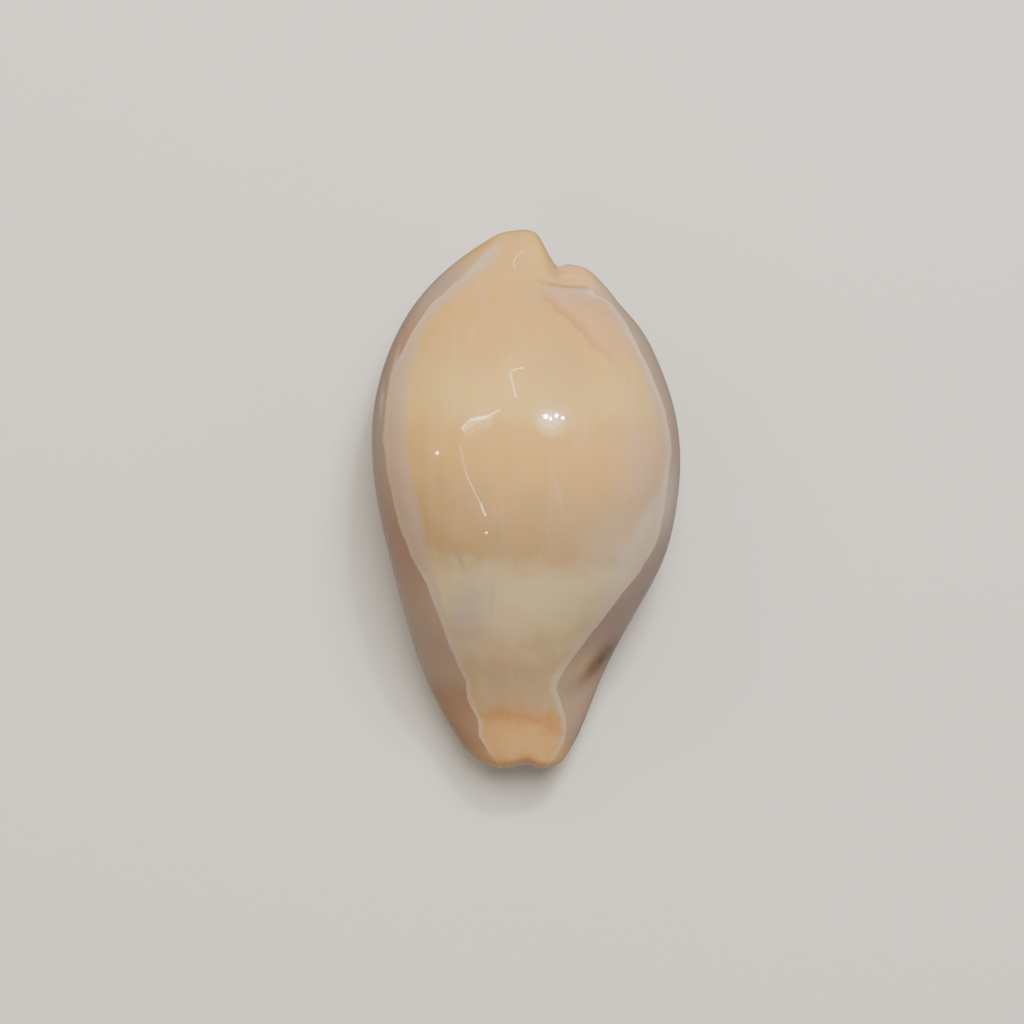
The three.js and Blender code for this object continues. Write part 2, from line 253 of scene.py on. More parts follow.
def outside(angle, turn):
    """Points of the outside: turn is 0 on the crest and a half circle in the slit."""
    y = HALF_LENGTH * np.cos(angle)
    right = np.sin(turn) >= 0
    above = np.cos(turn) >= 0
    labral_pinch = LABRAL_PINCH["depth"] * bell(y, LABRAL_PINCH["y"], LABRAL_PINCH["spread"])
    right_pinch = COLUMELLAR_PINCH["depth"] * bell(
        y, COLUMELLAR_PINCH["y"], COLUMELLAR_PINCH["spread"])
    full = np.where(above, FULL_BACK - np.where(right, right_pinch, labral_pinch), FULL_BASE)
    swell = 1 + full * np.sin(2 * turn) ** 2
    middle = np.where(above, crest(angle), slit(angle))
    margin = np.where(right, columellar(angle), labral(angle))
    level = widest(angle)
    reach = np.where(above, back(angle) - level, level - base(angle))
    x = middle + (margin - middle) * np.abs(np.sin(turn)) * swell
    z = level + reach * np.cos(turn) * swell
    return np.stack(np.broadcast_arrays(x, y, z), -1)


def inside(angle, turn):
    away = outside(angle, turn) - CHAMBER_CENTRE
    tall = np.where(away[..., 2] > 0, CHAMBER_ABOVE, CHAMBER_BELOW)
    shares = np.stack(np.broadcast_arrays(CHAMBER_WIDE, CHAMBER_LONG, tall), -1)
    return CHAMBER_CENTRE + away * shares


def press(points):
    """Presses the two notches into the ends of the finished wall."""
    x, y, z = np.moveaxis(points, -1, 0)
    near = ease(*SPIRE_NOTCH_RANGE, y)
    slope = SPIRE_NOTCH["slope"] + SPIRE_NOTCH["spread"] * (1 - near)
    edge = SPIRE_NOTCH["x"] + SPIRE_NOTCH["shift"] * (1 - near)
    step = SPIRE_NOTCH["depth"] * near / (1 + np.exp(-(x - edge) / slope))
    dip = SPIRE_DIP["depth"] * near * ease(*SPIRE_DIP_RANGE, y)
    dip = dip * bell(x, SPIRE_DIP["x"], SPIRE_DIP["spread"])
    spread = np.where(x < FRONT_NOTCH["x"], FRONT_NOTCH["labral"], FRONT_NOTCH["columellar"])
    front = FRONT_NOTCH["depth"] * ease(*FRONT_NOTCH_RANGE, y)
    front = front * bell(x, FRONT_NOTCH["x"], spread)
    return np.stack((x, y + front - step - dip, z), -1)


def bay(distance, radius):
    """Half width of a round-ended bay, at a distance from its root."""
    share = np.clip(distance / radius, 0, 1)
    return radius * np.sqrt(1 - (1 - share) ** 2)


def length(vectors):
    return np.linalg.norm(vectors, axis=-1)


class Lips:
    """Sizes of the slit at every ring, as columns with one row for each ring."""

    def __init__(self, angle):
        spire_root = outside(np.zeros(1), math.pi)
        front_root = outside(np.full(1, math.pi), math.pi)
        self.angle = angle
        self.outer = outside(angle, math.pi)
        self.inner = inside(angle, math.pi)
        from_root = np.minimum(length(self.outer - spire_root), length(self.outer - front_root))
        radius = slit_width(angle) / 2
        self.drop = LIP_ROUND * np.exp(-from_root / (2 * LIP_ROUND))
        self.gap = bay(from_root - LIP_ROUND + self.drop, radius)
        self.wide = bay(from_root, radius + LIP_ROUND)
        self.inner_gap = self.gap + INNER_ROUND * np.tanh(from_root / INNER_FADE)
        self.thick = length(self.inner - self.outer)
        self.inward = (self.inner - self.outer) / self.thick[..., None]

    def turn(self, side, distance, shrink):
        """Turn at which a lip stands at the given distance from the slit's middle."""
        margin = columellar(self.angle) if side > 0 else labral(self.angle)
        half = np.maximum(np.abs(margin - slit(self.angle)) * shrink, TINY)
        return math.pi - np.arcsin(np.clip(distance / half, 0, WIDEST_LIP))

    def place(self, side, lateral, depth, drop):
        lateral, depth, drop = (np.asarray(v)[..., None] for v in (lateral, depth, drop))
        sideways = lateral * np.array((side, 0, 0))
        return self.outer + self.inward * depth + sideways - drop * np.array((0, 0, 1))


def outside_arc(lips):
    """Ring points over the back from lip to lip, with the lift that each rib gets."""
    share = np.linspace(-1, 1, RING_OUTSIDE)[None]
    eased = np.sign(share) * (1 - (1 - np.abs(share)) ** LIP_CROWDING)
    turns = np.where(share < 0, lips.turn(-1, lips.wide, 1), lips.turn(1, lips.wide, 1))
    turn = eased * turns
    points = outside(lips.angle, turn)
    past = np.maximum(np.abs(points[..., 0] - lips.outer[..., 0]) - lips.wide, 0)
    rib = np.where(np.abs(turn) > math.pi / 2, np.exp(-past / RIB_REACH), 0)
    lift = rib[..., None] * np.array((0, 0, -RIB_SHARE))
    return points, lift, np.sign(turn)


def slit_wall(lips, side, start):
    """Ring points of one side of the slit, from its rounded lip inwards."""
    end = inside(lips.angle, side * lips.turn(side, lips.inner_gap, CHAMBER_WIDE))
    deep = np.minimum(LIP_DEEP, lips.thick * MOST_OF_WALL["lip"])
    roll = np.minimum(INNER_ROUND, lips.thick * MOST_OF_WALL["inner"])
    start_fix = start - lips.place(side, lips.wide, 0, 0)
    end_fix = end - lips.place(side, lips.inner_gap, lips.thick, lips.drop)
    share = (np.arange(1, RING_LIP + 1) / (RING_LIP + 1))[None]
    lip_end, inner_start = WALL_RUN["lip"], WALL_RUN["inner"]
    lip = np.clip(share / lip_end, 0, 1) * math.pi / 2
    inner = np.clip((share - inner_start) / (1 - inner_start), 0, 1) * math.pi / 2
    straight = np.clip((share - lip_end) / (inner_start - lip_end), 0, 1)
    lateral = lips.gap + (lips.wide - lips.gap) * (1 - np.sin(lip))
    lateral = lateral + (lips.inner_gap - lips.gap) * (1 - np.cos(inner))
    depth = deep * (1 - np.cos(lip)) + (lips.thick - deep - roll) * straight
    depth = depth + roll * np.sin(inner)
    points = lips.place(side, lateral, depth, lips.drop * np.sin(lip))
    points = points + start_fix * (1 - np.sin(lip))[..., None]
    points = points + end_fix * (1 - np.cos(inner))[..., None]
    lift = np.sin(math.pi * share)[..., None] ** TOOTH_FULLNESS * np.array((-side, 0, 0))
    return points, np.broadcast_to(lift, points.shape)


def whorl(lips):
    """The older whorl: a sheet that curls on from the columellar wall, out and back."""
    top, left, right, bottom = (
        inside(lips.angle, turn) for turn in (0, -math.pi / 2, math.pi / 2, math.pi))
    start = inside(lips.angle, lips.turn(1, lips.inner_gap, CHAMBER_WIDE))
    centre_x = (left[..., 0] + right[..., 0]) / 2
    centre_z = (top[..., 2] + bottom[..., 2]) / 2
    half_x = (right[..., 0] - left[..., 0]) / 2
    half_z = (top[..., 2] - bottom[..., 2]) / 2
    from_x = (start[..., 0] - centre_x) / np.maximum(half_x, TINY)
    from_z = (start[..., 2] - centre_z) / np.maximum(half_z, TINY)
    first_turn = np.arctan2(-from_x, -from_z)
    wall = np.clip(WHORL["most"] * np.minimum(half_x, half_z), 0, WHORL["wall"])
    share = np.linspace(0, 1, RING_WHORL + 1)[None]
    plain = WHORL["start"] + (WHORL["end"] - WHORL["start"]) * share
    blend = np.clip(1 - share / WHORL["blend"], 0, 1) ** WHORL["easing"]
    radius = plain + (np.hypot(from_x, from_z) - plain) * blend
    turn = first_turn + WHORL["turn"] * share
    opened = np.clip(share / WHORL["open"], 0, 1)

    def sheet(offset):
        x = centre_x - (half_x * radius + offset) * np.sin(turn)
        z = centre_z - (half_z * radius + offset) * np.cos(turn)
        return np.stack(np.broadcast_arrays(x, start[..., 1], z), -1)

    out = sheet(wall / 2 * opened)
    home = sheet(-wall * (1 - opened / 2))
    return np.concatenate((out[:, 1:], home[:, :0:-1]), 1), wall


def chamber_arc(lips, wall):
    first = lips.turn(1, lips.inner_gap + wall, CHAMBER_WIDE)
    last = -lips.turn(-1, lips.inner_gap, CHAMBER_WIDE)
    share = np.linspace(0, 1, RING_CHAMBER)[None]
    return inside(lips.angle, first + (last - first) * share)


def carve(points):
    """Sets the rim in over the ledge and cuts the crease. Gives both as marks, 0 to 1, for the
    painted shade on the ledge and in the crease.
    """
    x, y, z = np.moveaxis(points, -1, 0)
    near = bell(x, LEDGE["x"], LEDGE["spread"])
    rim = ease(*LEDGE_FROM_Z, z)
    moved = y - LEDGE["depth"] * near * rim * ease(*LEDGE_FROM_Y, y)
    ledge = near * (1 - rim) * ease(*LEDGE_SHADE_FROM_Y, y)
    line = np.array(CREASE)
    middle = np.interp(x, line[:, 0], line[:, 1])
    start, end = line[0, 0], line[-1, 0]
    faded = ease(start - CREASE_ENDS["before"], start + CREASE_ENDS["full"], x)
    faded = faded * ease(end, end - CREASE_ENDS["fade"], x)
    crease = faded * bell(moved, middle, CREASE_SPREAD) * (z > LEDGE_FROM_Z[0])
    return np.stack((x, moved, z - CREASE_DEPTH * crease), -1), crease, ledge


def ring_angles():
    first = math.acos(TOOTHED_FROM / HALF_LENGTH)
    last = math.acos(TOOTHED_TO / HALF_LENGTH)
    spire = first * np.linspace(0, 1, SPIRE_RINGS, endpoint=False) ** END_CROWDING
    toothed = np.linspace(TOOTHED_FROM, TOOTHED_TO, TOOTHED_RINGS, endpoint=False)
    front = math.pi - (math.pi - last) * np.linspace(1, 0, FRONT_RINGS) ** END_CROWDING
    return np.concatenate((spire, np.arccos(toothed / HALF_LENGTH), front))[:, None]


def shell_rings():
    """Every ring's points, the way each rises in a tooth, and values for the looks."""
    lips = Lips(ring_angles())
    arc, rib, side = outside_arc(lips)
    right, right_lift = slit_wall(lips, 1, arc[:, -1:])
    left, left_lift = slit_wall(lips, -1, arc[:, :1])
    curl, wall = whorl(lips)
    chamber = chamber_arc(lips, wall)
    carved, crease, ledge = carve(press(arc))
    plain = [press(part) for part in (right, curl, chamber, left[:, ::-1])]
    points = np.concatenate([carved, *plain], 1)
    still = np.zeros_like(np.concatenate((curl, chamber), 1))
    lift = np.concatenate((rib, right_lift, still, left_lift[:, ::-1]), 1)
    sides = np.concatenate((
        np.broadcast_to(side, arc.shape[:2]),
        np.ones(right.shape[:2]),
        np.zeros(still.shape[:2]),
        -np.ones(left.shape[:2]),
    ), 1)
    station = np.broadcast_to(HALF_LENGTH * np.cos(lips.angle), sides.shape)
    inner = np.concatenate((
        np.zeros(arc.shape[:2]),
        np.broadcast_to(np.linspace(0, 1, RING_LIP)[None], right.shape[:2]),
        np.ones(still.shape[:2]),
        np.broadcast_to(np.linspace(1, 0, RING_LIP)[None], left.shape[:2]),
    ), 1)
    values = {"side": sides, "station": station * MM, "inner": inner}
    for name, mark in (("crease", crease), ("ledge", ledge)):
        values[name] = np.zeros(sides.shape)
        values[name][:, :RING_OUTSIDE] = mark
    return points, lift, values


def glaze_distances(points):
    """Distances in from either edge of the marginal glaze, and the same in band widths."""
    y = points[..., 1]

    def line(outline):
        rows = np.array(outline)[::-1]
        return np.interp(y, rows[:, 0], rows[:, 1])

    left = points[..., 0] - line(LABRAL_GLAZE)
    right = line(COLUMELLAR_GLAZE) - points[..., 0]
    return {
        "glaze_left": left,
        "glaze_right": right,
        "band_left": left / line(LABRAL_BAND),
        "band_right": right / line(COLUMELLAR_BAND),
    }


def shell_mesh():
    points, lift, values = shell_rings()
    values.update(glaze_distances(points))
    rings, columns = points.shape[:2]
    number = np.arange(rings * columns).reshape(rings, columns)
    here, there = number[:-1], number[1:]
    faces = np.stack((here, there, np.roll(there, -1, 1), np.roll(here, -1, 1)), -1)
    mesh = bpy.data.meshes.new("shell_body")
    mesh.from_pydata((points.reshape(-1, 3) * MM).tolist(), [], faces.reshape(-1, 4).tolist())
    for name, value in values.items():
        mesh.attributes.new(name, "FLOAT", "POINT").data.foreach_set(
            "value", np.ascontiguousarray(value, np.float32).ravel())
    mesh.attributes.new("lift", "FLOAT_VECTOR", "POINT").data.foreach_set(
        "vector", np.ascontiguousarray(lift, np.float32).ravel())
    body = bmesh.new()
    body.from_mesh(mesh)
    bmesh.ops.remove_doubles(body, verts=body.verts, dist=SAME_POINT * MM)
    bmesh.ops.dissolve_degenerate(body, edges=body.edges, dist=SAME_POINT * MM)
    body.to_mesh(mesh)
    body.free()
    return mesh


class Wiring:
    """Adds nodes to one tree, and joins them as they are made."""

    def __init__(self, tree):
        self.tree = tree

    def node(self, kind, **settings):
        node = self.tree.nodes.new(kind)
        for name, value in settings.items():
            setattr(node, name, value)
        return node

    def feed(self, socket, value):
        if isinstance(value, bpy.types.NodeSocket):
            self.tree.links.new(value, socket)
        elif value is not None:
            socket.default_value = value

    def math(self, operation, first, second=None, third=None, clamp=False):
        node = self.node("ShaderNodeMath", operation=operation, use_clamp=clamp)
        for socket, value in zip(node.inputs, (first, second, third)):
            self.feed(socket, value)
        return node.outputs[0]

    def vector(self, operation, first, second=None, scale=None):
        node = self.node("ShaderNodeVectorMath", operation=operation)
        self.feed(node.inputs[0], first)
        if scale is None:
            self.feed(node.inputs[1], second)
        else:
            self.feed(node.inputs["Scale"], scale)
        return node.outputs[0]

    def ramp(self, value, low, high, smooth=True):
        """0 at low and 1 at high, eased at both ends unless smooth is off."""
        node = self.node("ShaderNodeMapRange")
        node.interpolation_type = "SMOOTHSTEP" if smooth else "LINEAR"
        self.feed(node.inputs["Value"], value)
        self.feed(node.inputs["From Min"], low)
        self.feed(node.inputs["From Max"], high)
        return node.outputs["Result"]

    def noise(self, coords, scale, detail=2.0, rough=0.5, dimensions="3D"):
        node = self.node("ShaderNodeTexNoise", noise_dimensions=dimensions)
        self.feed(node.inputs["W" if dimensions == "1D" else "Vector"], coords)
        self.feed(node.inputs["Scale"], scale)
        self.feed(node.inputs["Detail"], detail)
        self.feed(node.inputs["Roughness"], rough)
        return node.outputs["Fac"]

    def mix(self, share, first, second):
        node = self.node("ShaderNodeMix", data_type="RGBA")
        self.feed(node.inputs["Factor"], share)
        self.feed(node.inputs[6], first)
        self.feed(node.inputs[7], second)
        return node.outputs[2]


# Teeth: sizes in metres.
TEETH = {
    "Tooth pitch": 1.5 * MM,
    "Tooth height": 0.46 * MM,
    "First tooth": 13.5 * MM,
    "Teeth fade in": 14.6 * MM,
    "Teeth full from": 12.8 * MM,
    "Teeth full to": -16.0 * MM,
    "Teeth fade out": -17.6 * MM,
    "Unevenness": 0.16,
}
# The teeth of one lip stand between those of the other, by this share of the pitch either
# way. A sharpness above 1 makes the gaps wider than the teeth. The last value is how often
# the pitch strays over a metre.
LIP_OFFSET = 0.25
TOOTH_SHARPNESS = 1.3
STRAYS_PER_METRE = 170.0


def tooth_tree():
    """Geometry nodes that raise the teeth and their ribs along both lips of the slit."""
    tree = bpy.data.node_groups.new("raise_teeth", "GeometryNodeTree")
    face = tree.interface
    face.new_socket("Geometry", in_out="INPUT", socket_type="NodeSocketGeometry")
    for name, value in TEETH.items():
        face.new_socket(name, in_out="INPUT", socket_type="NodeSocketFloat").default_value = value
    face.new_socket("Finish", in_out="INPUT", socket_type="NodeSocketMaterial")
    face.new_socket("Geometry", in_out="OUTPUT", socket_type="NodeSocketGeometry")
    w = Wiring(tree)
    given = w.node("NodeGroupInput").outputs

    def stored(name, kind="FLOAT"):
        node = w.node("GeometryNodeInputNamedAttribute", data_type=kind)
        node.inputs["Name"].default_value = name
        return node.outputs["Attribute"]

    station = stored("station")
    side = stored("side")
    lift = stored("lift", "FLOAT_VECTOR")
    beside = w.math("MULTIPLY_ADD", station, STRAYS_PER_METRE, side)
    wander = w.noise(beside, 1.0, 1.0, dimensions="1D")
    wander = w.math("MULTIPLY", w.math("SUBTRACT", wander, 0.5), given["Unevenness"])
    count = w.math("DIVIDE", w.math("SUBTRACT", station, given["First tooth"]),
                   given["Tooth pitch"])
    count = w.math("ADD", count, w.math("MULTIPLY_ADD", side, LIP_OFFSET, LIP_OFFSET))
    count = w.math("ADD", count, wander)
    wave = w.math("COSINE", w.math("MULTIPLY", count, TAU))
    wave = w.math("MULTIPLY_ADD", wave, 0.5, 0.5)
    wave = w.math("POWER", w.math("MAXIMUM", wave, 0.0), TOOTH_SHARPNESS)
    fade_in = w.ramp(station, given["Teeth fade in"], given["Teeth full from"])
    fade_out = w.ramp(station, given["Teeth fade out"], given["Teeth full to"])
    wave = w.math("MULTIPLY", wave, w.math("MULTIPLY", fade_in, fade_out))
    offset = w.vector("SCALE", lift, scale=w.math("MULTIPLY", wave, given["Tooth height"]))

    raised = w.node("GeometryNodeSetPosition")
    w.feed(raised.inputs["Geometry"], given["Geometry"])
    w.feed(raised.inputs["Offset"], offset)
    marked = w.node("GeometryNodeStoreNamedAttribute", data_type="FLOAT", domain="POINT")
    marked.inputs["Name"].default_value = "tooth"
    w.feed(marked.inputs["Geometry"], raised.outputs[0])
    lifted = w.node("ShaderNodeVectorMath", operation="LENGTH")
    w.feed(lifted.inputs[0], lift)
    w.feed(marked.inputs["Value"], w.math("MULTIPLY", wave, lifted.outputs["Value"]))
    apart = w.node("ShaderNodeSeparateXYZ")
    w.feed(apart.inputs[0], w.node("GeometryNodeInputPosition").outputs[0])
    joined = w.node("ShaderNodeCombineXYZ")
    w.feed(joined.inputs["X"], apart.outputs["X"])
    w.feed(joined.inputs["Y"], apart.outputs["Y"])
    w.feed(joined.inputs["Z"], w.math("MAXIMUM", apart.outputs["Z"], 0.0))
    rested = w.node("GeometryNodeSetPosition")
    w.feed(rested.inputs["Geometry"], marked.outputs[0])
    w.feed(rested.inputs["Position"], joined.outputs[0])
    realized = w.node("GeometryNodeRealizeInstances")
    w.feed(realized.inputs[0], rested.outputs[0])
    finished = w.node("GeometryNodeSetMaterial")
    w.feed(finished.inputs["Geometry"], realized.outputs[0])
    w.feed(finished.inputs["Material"], given["Finish"])
    w.feed(w.node("NodeGroupOutput").inputs[0], finished.outputs[0])
    return tree


def raise_teeth(body, material):
    """The shell's body with its teeth, as a plain mesh."""
    tree = tooth_tree()
    modifier = body.modifiers.new("teeth", "NODES")
    modifier.node_group = tree
    for item in tree.interface.items_tree:
        if item.in_out == "INPUT" and item.name == "Finish":
            modifier[item.identifier] = material
        elif item.in_out == "INPUT" and item.name in TEETH:
            modifier[item.identifier] = TEETH[item.name]
    bpy.context.view_layer.update()
    ready = body.evaluated_get(bpy.context.evaluated_depsgraph_get())
    mesh = bpy.data.meshes.new_from_object(ready)
    body.modifiers.remove(modifier)
    return mesh


def tone(code):
    """Linear colour of a screen colour, by the standard curve: six hexadecimal digits."""
    parts = [int(code[i:i + 2], 16) / 255 for i in (0, 2, 4)]
    linear = [p / 12.92 if p < 0.04045 else ((p + 0.055) / 1.055) ** 2.4 for p in parts]
    return (*linear, 1.0)


# Tones of the glaze.
CREAM = "C4A25F"
HONEY = "BD9453"
TAN = "AB8B5E"
PALE = "C7B288"
BEIGE = "AE9370"
ORANGE = "B17F4E"
PEACH = "C2945C"
ROSE = "C49472"
LILAC = "B0988C"
PEARL = "BFB4A4"
MILK_SHEEN = "D3C5B6"
ASH = "AB9B8F"
FAWN = "94745C"
BROWN = "917258"
STONE = "9A8371"
MAUVE = "957F76"
# Tone of painted shade: the shadow in the right pinch and the shade in the crease.
SHADE_UMBER = "4E3A2E"
BASE_TONE = "DCC7AE"
TOOTH_TONE = "EFE4D2"
GAP_TONE = "B58455"
CHAMBER_TONE = "B39A96"

# Tones from the front end to the spire end: (y, tone) over the back and down either margin.
TONES_FROM_Y = -20.0
TONES_TO_Y = 20.0
BACK_TONES = (
    (-20.0, PEACH), (-17.6, PEACH), (-16.7, ORANGE), (-15.0, BEIGE), (-12.2, BEIGE), (-8.2, PALE),
    (-6.5, PALE), (-3.8, TAN), (-1.5, TAN), (3.5, HONEY), (7.4, CREAM), (12.5, HONEY),
    (20.0, HONEY),
)
# Margin tones: partly the margins' own colour, partly painted shade where they turn from the light.
LABRAL_TONES_WITH_SHADE = (
    (-20.0, PEACH), (-18.0, FAWN), (-15.0, BROWN), (-12.5, STONE), (-9.0, STONE), (-3.0, FAWN),
    (4.0, STONE), (12.0, FAWN), (16.0, STONE), (19.0, HONEY),
)
COLUMELLAR_TONES_WITH_SHADE = (
    (-20.0, PEACH), (-17.0, STONE), (-14.5, STONE), (-9.0, MAUVE), (-4.0, MAUVE), (0.0, ASH),
    (4.0, STONE), (12.0, STONE), (16.0, BEIGE), (19.0, HONEY),
)

# Soft spots on the back: (x, y, width, length, lean, strength, tone). The lean is how far
# a spot shifts to +x for each millimetre towards the spire end.
SPOTS = (
    (-0.6, -16.4, 2.0, 0.6, 0, 0.4, ORANGE),
    (-3.1, -16.6, 0.9, 1.4, -0.2, 0.5, TAN),
    (6.3, -3.6, 2.4, 2.4, 0.3, 0.35, PEARL),
    (2.8, -5.3, 2.4, 0.6, 0, 0.4, PALE),
    (-4.4, -8.2, 1.5, 2.3, 0.1, 0.8, ASH),
    (-2.5, -7.2, 0.2, 1.7, 0.06, 0.25, MAUVE),
    (-6.2, -4.0, 1.0, 1.7, -0.2, 0.5, TAN),
    (-4.9, -4.3, 0.2, 0.9, -0.45, 0.6, MAUVE),
    (-6.3, -3.6, 0.13, 0.6, -0.5, 0.4, MAUVE),
    (8.8, 2.4, 2.4, 5.0, 0, 0.5, LILAC),
    (3.4, 15.1, 2.0, 0.45, 0, 0.6, LILAC),
    # Partly the rim's own yellow, partly a painted highlight along the rim.
    (3.4, 16.3, 1.6, 0.4, 0, 0.8, CREAM),
    (3.0, 8.8, 2.2, 2.2, 0, 0.5, TAN),
    (2.2, 0.9, 0.16, 1.8, -0.26, 0.2, PEARL),
    (1.1, 18.2, 0.9, 1.6, 0, 0.7, CREAM),
    # Painted highlight: a pale streak of reflection on the flank of the left lobe.
    (-3.2, 17.8, 0.7, 1.2, 0.7, 0.5, PEARL),
)
# Soft spots on the margins: a painted shadow in the right pinch, a brown tint with painted shade in
# the left pinch, a beige patch, and two painted highlights.
MARGIN_SPOTS_AND_PAINTED_LIGHT = (
    # Painted shadow in the concave pinch of the right margin.
    (5.2, -12.1, 0.85, 1.8, 0.85, 0.85, SHADE_UMBER),
    (4.2, -12.2, 0.7, 1.4, 0.6, 0.5, BEIGE),
    # Partly a brown tint of the margin, partly painted shade in the left pinch.
    (-5.2, -15.2, 0.8, 1.5, 0.4, 0.3, BROWN),
    # Two painted highlights: pale streaks of reflection along the left margin.
    (-9.7, 9.7, 0.14, 1.3, 0.22, 0.6, PEARL),
    (-10.65, 7.2, 0.12, 1.1, 0.08, 0.6, PEARL),
)

# Rosy wedge beside the spire: where its orange edge starts and ends, how far that edge
# strays, and the distances along it and across it over which the wedge comes and goes.
WEDGE_START = (0.9, 15.3)
WEDGE_END = (4.9, 11.2)
WEDGE_STRAY = {"scale": 0.8, "detail": 2.0, "reach": 0.9}
WEDGE_ALONG = {"comes": (-0.4, 0.8), "goes": (11.0, 3.5)}
WEDGE_ROSE = {"comes": (-0.25, 0.45), "share": 0.55}
WEDGE_EDGE = {"comes": (-0.2, 0.12), "goes": (0.9, 0.12), "share": 0.85}

# Noise in the glaze: its scale per millimetre, its detail, and how far it reaches.
BAND_STRAY = {"scale": 0.33, "detail": 3.0, "reach": 5.0}
EDGE_STRAY = {"scale": 0.7, "detail": 3.0, "reach": 0.3}
SPOT_CLOUDS = {"scale": 0.9, "detail": 3.0, "reach": 0.8, "least": 0.6}
ROSY_CLOUDS = {"scale": 0.35, "detail": 4.0, "rough": 0.55, "range": (0.42, 0.68), "share": 0.15}
STREAKS = {"scale": 1.0, "detail": 5.0, "rough": 0.65, "range": (0.42, 0.75), "share": 0.12}
STREAK_STRETCH = (1.4, 0.08, 0.4)

# Edge of the marginal glaze: half the width over which it turns, which grows towards the
# spire end, and the band and the pale ridge inside it, which are partly the glaze's own paler
# tone and partly painted reflection.
GLAZE_EDGE = 0.05
SPIRE_EDGE = {"wider": 0.3, "y": (14.5, 16.5)}
BAND_END = 1.1
BAND_SOFTNESS = {"left": 0.35, "right": 0.7}
BAND_SHARE = {"most": 0.6, "less": 0.25, "y": (-7.0, -14.0)}
PEARLY_BAND_Y = (4.0, -2.0)
BELOW_RIM_Y = (16.2, 15.2)
BELOW_LOBE_Y = (19.4, 17.5)
RIDGE_RIGHT = {"distance": (0.6, 0.1), "y": (-7.0, 0.0)}
RIDGE_LEFT = {"distance": (0.5, 0.1), "share": 0.4}
RIDGE_SHARE = 0.35

# Shares of the painted shade on the ledge and in the crease, of the tones on the base, the
# teeth and in the chamber, and the heights or marks over which they come in.
LEDGE_SHADE_SHARE = 0.75
CREASE_SHADE_SHARE = 0.5
LOW = {"z": (3.2, 0.8), "share": 0.85}
BY_LIP_RANGE = (0.05, 0.5)
TOOTH = {"range": (0.03, 0.3), "share": 0.8}
GAP_SHARE = 0.4
CHAMBER_RANGE = (0.3, 1.0)

# Gloss, with faint growth lines across the shell and slow swells in the glaze.
DULLNESS = {"scale": 1.3, "detail": 4.0, "reach": 0.1, "least": 0.2}
GROWTH_LINES = {"scale": 1.0, "detail": 3.0, "rough": 0.6, "height": 0.008 * MM}
GROWTH_STRETCH = (0.12, 1.7, 0.12)
SWELLS = {"scale": 0.35, "detail": 1.0, "height": 0.08 * MM}
GLOSS = {
    "IOR": 1.5,
    "Specular IOR Level": 0.15,
    "Coat Weight": 0.7,
    "Coat Roughness": 0.03,
    "Subsurface Weight": 0.12,
    "Subsurface Scale": 1.2 * MM,
    "Subsurface Radius": (1.0, 0.55, 0.35),
}


def noise_of(w, place, kind, dimensions="3D"):
    rough = kind.get("rough", 0.5)
    return w.noise(place, kind["scale"], kind["detail"], rough, dimensions)


def stray(w, place, kind):
    """An offset in millimetres, up to half its reach either way."""
    return w.math("MULTIPLY_ADD", noise_of(w, place, kind), kind["reach"], -kind["reach"] / 2)


def lay(w, colour, mask, share, code):
    """Lays a tone over a colour where the mask is, at a share of its strength."""
    return w.mix(w.math("MULTIPLY", mask, share), colour, tone(code))


def tone_ramp(w, y, tones):
    ramp = w.node("ShaderNodeValToRGB")
    w.feed(ramp.inputs[0], w.ramp(y, TONES_FROM_Y, TONES_TO_Y, smooth=False))
    ramp.color_ramp.interpolation = "EASE"
    stops = ramp.color_ramp.elements
    while len(stops) < len(tones):
        stops.new(0.5)
    for stop, (at, code) in zip(stops, tones):
        stop.position = (at - TONES_FROM_Y) / (TONES_TO_Y - TONES_FROM_Y)
        stop.color = tone(code)
    return ramp.outputs[0]


def add_spots(w, colour, place, x, y, spots):
    """Lays soft elliptic spots over a colour, each with a slightly clouded edge."""
    cloud = noise_of(w, place, SPOT_CLOUDS)
    cloud = w.math("MULTIPLY_ADD", cloud, SPOT_CLOUDS["reach"], SPOT_CLOUDS["least"])
    for at_x, at_y, wide, long, lean, strength, code in spots:
        down = w.math("SUBTRACT", y, at_y)
        across = w.math("MULTIPLY_ADD", down, -lean, w.math("SUBTRACT", x, at_x))
        across = w.math("DIVIDE", across, wide)
        down = w.math("DIVIDE", down, long)
        square = w.math("MULTIPLY_ADD", across, across, w.math("MULTIPLY", down, down))
        share = w.math("EXPONENT", w.math("MULTIPLY", square, -1.0))
        share = w.math("MULTIPLY", share, w.math("MULTIPLY", cloud, strength), clamp=True)
        colour = w.mix(share, colour, tone(code))
    return colour


